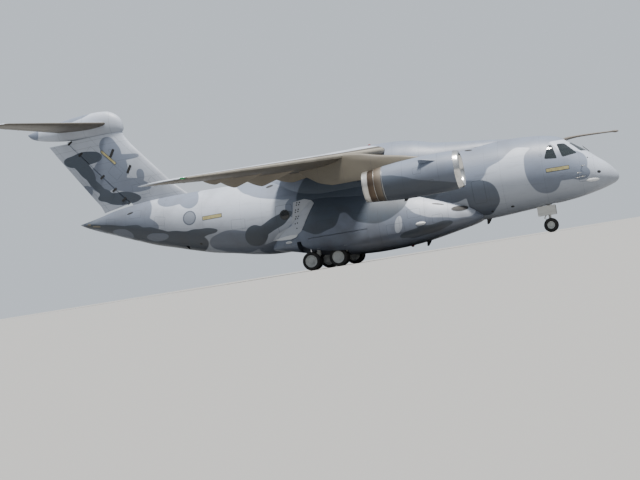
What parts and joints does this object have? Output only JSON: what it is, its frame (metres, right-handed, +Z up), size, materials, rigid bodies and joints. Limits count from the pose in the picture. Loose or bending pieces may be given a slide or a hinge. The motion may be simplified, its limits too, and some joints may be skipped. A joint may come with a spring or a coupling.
{
  "type": "military transport plane",
  "caption": "Twin-jet military transport plane with a high wing, a T-tail, side sponsons, a rear loading ramp and wheeled landing gear.",
  "frame": {"origin": "on the ground, under the middle of the plane's length and span", "axes": "+X forward to the nose, +Y to the left wing, +Z up"},
  "size_m": [35.55, 35.05, 11.8351],
  "materials": {
    "hull_paint": "satin",
    "belly_paint": "satin",
    "dark_paint": "satin",
    "pylon_paint": "satin",
    "gear_paint": "satin",
    "bare_metal": "satin",
    "nozzle_metal": "satin",
    "cockpit_glazing": "gloss",
    "tyre": "matte"
  },
  "bodies": {
    "airframe": {"barrel_shell": "hull_paint", "belly_fairing": "belly_paint", "cargo_floor": "dark_paint", "cockpit_deck": "dark_paint", "cockpit_glass": "cockpit_glazing", "engine_core_left": "bare_metal", "engine_core_right": "bare_metal", "fin": "hull_paint", "flap_left": "hull_paint", "flap_right": "hull_paint", "main_legs_left": "gear_paint", "main_legs_right": "gear_paint", "nacelle_left": "belly_paint", "nacelle_right": "belly_paint", "nose_leg": "gear_paint", "nose_shell": "hull_paint", "nozzle_left": "nozzle_metal", "nozzle_right": "nozzle_metal", "pylon_left": "pylon_paint", "pylon_right": "pylon_paint", "radome": "belly_paint", "refuelling_probe": "hull_paint", "sponson_left": "belly_paint", "sponson_right": "belly_paint", "tail_bullet": "belly_paint", "tail_cone": "hull_paint", "tail_shell": "hull_paint", "tailplane_left": "hull_paint", "tailplane_right": "hull_paint", "wing_left": "hull_paint", "wing_right": "hull_paint", "wing_saddle": "belly_paint"},
    "nose_fork": {"nose_fork": "gear_paint"},
    "nose_wheels": {"nose_wheels": "tyre"},
    "main_wheels_front_left": {"main_wheels_front_left": "tyre"},
    "main_wheels_rear_left": {"main_wheels_rear_left": "tyre"},
    "main_wheels_front_right": {"main_wheels_front_right": "tyre"},
    "main_wheels_rear_right": {"main_wheels_rear_right": "tyre"},
    "fan_left": {"fan_left": "bare_metal"},
    "fan_right": {"fan_right": "bare_metal"},
    "aileron_left": {"aileron_left": "hull_paint"},
    "aileron_right": {"aileron_right": "hull_paint"},
    "elevator_left": {"elevator_left": "hull_paint"},
    "elevator_right": {"elevator_right": "hull_paint"},
    "rudder": {"rudder": "hull_paint"},
    "cargo_ramp": {"cargo_ramp": "hull_paint"},
    "cargo_door": {"cargo_door": "hull_paint"},
    "crew_door": {"crew_door": "hull_paint"},
    "nose_gear_door_left": {"nose_gear_door_left": "hull_paint"},
    "nose_gear_door_right": {"nose_gear_door_right": "hull_paint"},
    "sponson_door_left": {"sponson_door_left": "belly_paint"},
    "sponson_door_right": {"sponson_door_right": "belly_paint"}
  },
  "joints": [
    {"name": "nose_steering", "type": "hinge", "parent": "airframe", "child": "nose_fork", "pos_m": [13.375, 0, 1], "axis": [0, 0, 1], "range_deg": [-60, 60]},
    {"name": "nose_wheel_spin", "type": "hinge", "parent": "nose_fork", "child": "nose_wheels", "pos_m": [13.375, 0, 0.4], "axis": [0, 1, 0], "continuous": true},
    {"name": "main_wheel_front_left_spin", "type": "hinge", "parent": "airframe", "child": "main_wheels_front_left", "pos_m": [1.525, 2.02, 0.53], "axis": [0, 1, 0], "continuous": true},
    {"name": "main_wheel_rear_left_spin", "type": "hinge", "parent": "airframe", "child": "main_wheels_rear_left", "pos_m": [-0.075, 2.02, 0.53], "axis": [0, 1, 0], "continuous": true},
    {"name": "main_wheel_front_right_spin", "type": "hinge", "parent": "airframe", "child": "main_wheels_front_right", "pos_m": [1.525, -2.02, 0.53], "axis": [0, 1, 0], "continuous": true},
    {"name": "main_wheel_rear_right_spin", "type": "hinge", "parent": "airframe", "child": "main_wheels_rear_right", "pos_m": [-0.075, -2.02, 0.53], "axis": [0, 1, 0], "continuous": true},
    {"name": "fan_left_spin", "type": "hinge", "parent": "airframe", "child": "fan_left", "pos_m": [8.36526, 5.2, 4.03487], "axis": [0.9998, 0, 0.0209], "continuous": true},
    {"name": "fan_right_spin", "type": "hinge", "parent": "airframe", "child": "fan_right", "pos_m": [8.36526, -5.2, 4.03487], "axis": [0.9998, 0, 0.0209], "continuous": true},
    {"name": "aileron_left_tilt", "type": "hinge", "parent": "airframe", "child": "aileron_left", "pos_m": [-1.91491, 12.9, 5.22944], "axis": [-0.2086, 0.9763, -0.0579], "range_deg": [-20, 25]},
    {"name": "aileron_right_tilt", "type": "hinge", "parent": "airframe", "child": "aileron_right", "pos_m": [-1.91491, -12.9, 5.22944], "axis": [0.2086, 0.9763, 0.0579], "range_deg": [-20, 25]},
    {"name": "elevator_left_tilt", "type": "hinge", "parent": "airframe", "child": "elevator_left", "pos_m": [-14.60027, 0.72, 10.99831], "axis": [-0.3543, 0.9348, 0.0238], "range_deg": [-17, 25]},
    {"name": "elevator_right_tilt", "type": "hinge", "parent": "airframe", "child": "elevator_right", "pos_m": [-14.60027, -0.72, 10.99831], "axis": [0.3543, 0.9348, -0.0238], "range_deg": [-17, 25]},
    {"name": "rudder_turn", "type": "hinge", "parent": "airframe", "child": "rudder", "pos_m": [-11.615, 0, 5.85], "axis": [-0.6225, 0, 0.7826], "range_deg": [-30, 30]},
    {"name": "ramp_lower", "type": "hinge", "parent": "airframe", "child": "cargo_ramp", "pos_m": [-3.175, 0, 1.35], "axis": [0, -1, 0], "range_deg": [0, 27.5]},
    {"name": "cargo_door_raise", "type": "hinge", "parent": "airframe", "child": "cargo_door", "pos_m": [-11.415, 0, 3.98], "axis": [0, -1, 0], "range_deg": [0, 32]},
    {"name": "crew_door_open", "type": "hinge", "parent": "airframe", "child": "crew_door", "pos_m": [12.025, 1.222, 1.786], "axis": [-1, 0, 0], "range_deg": [0, 125]},
    {"name": "nose_gear_door_left_open", "type": "hinge", "parent": "airframe", "child": "nose_gear_door_left", "pos_m": [15.4731, 0.404, 1.785], "axis": [0.9935, 0, 0.114], "range_deg": [0, 90]},
    {"name": "nose_gear_door_right_open", "type": "hinge", "parent": "airframe", "child": "nose_gear_door_right", "pos_m": [15.4731, -0.404, 1.785], "axis": [-0.9935, 0, -0.114], "range_deg": [0, 90]},
    {"name": "sponson_door_left_open", "type": "hinge", "parent": "airframe", "child": "sponson_door_left", "pos_m": [2.925, 2.945, 1.784], "axis": [1, 0, 0], "range_deg": [0, 85]},
    {"name": "sponson_door_right_open", "type": "hinge", "parent": "airframe", "child": "sponson_door_right", "pos_m": [2.925, -2.945, 1.784], "axis": [-1, 0, 0], "range_deg": [0, 85]}
  ]
}
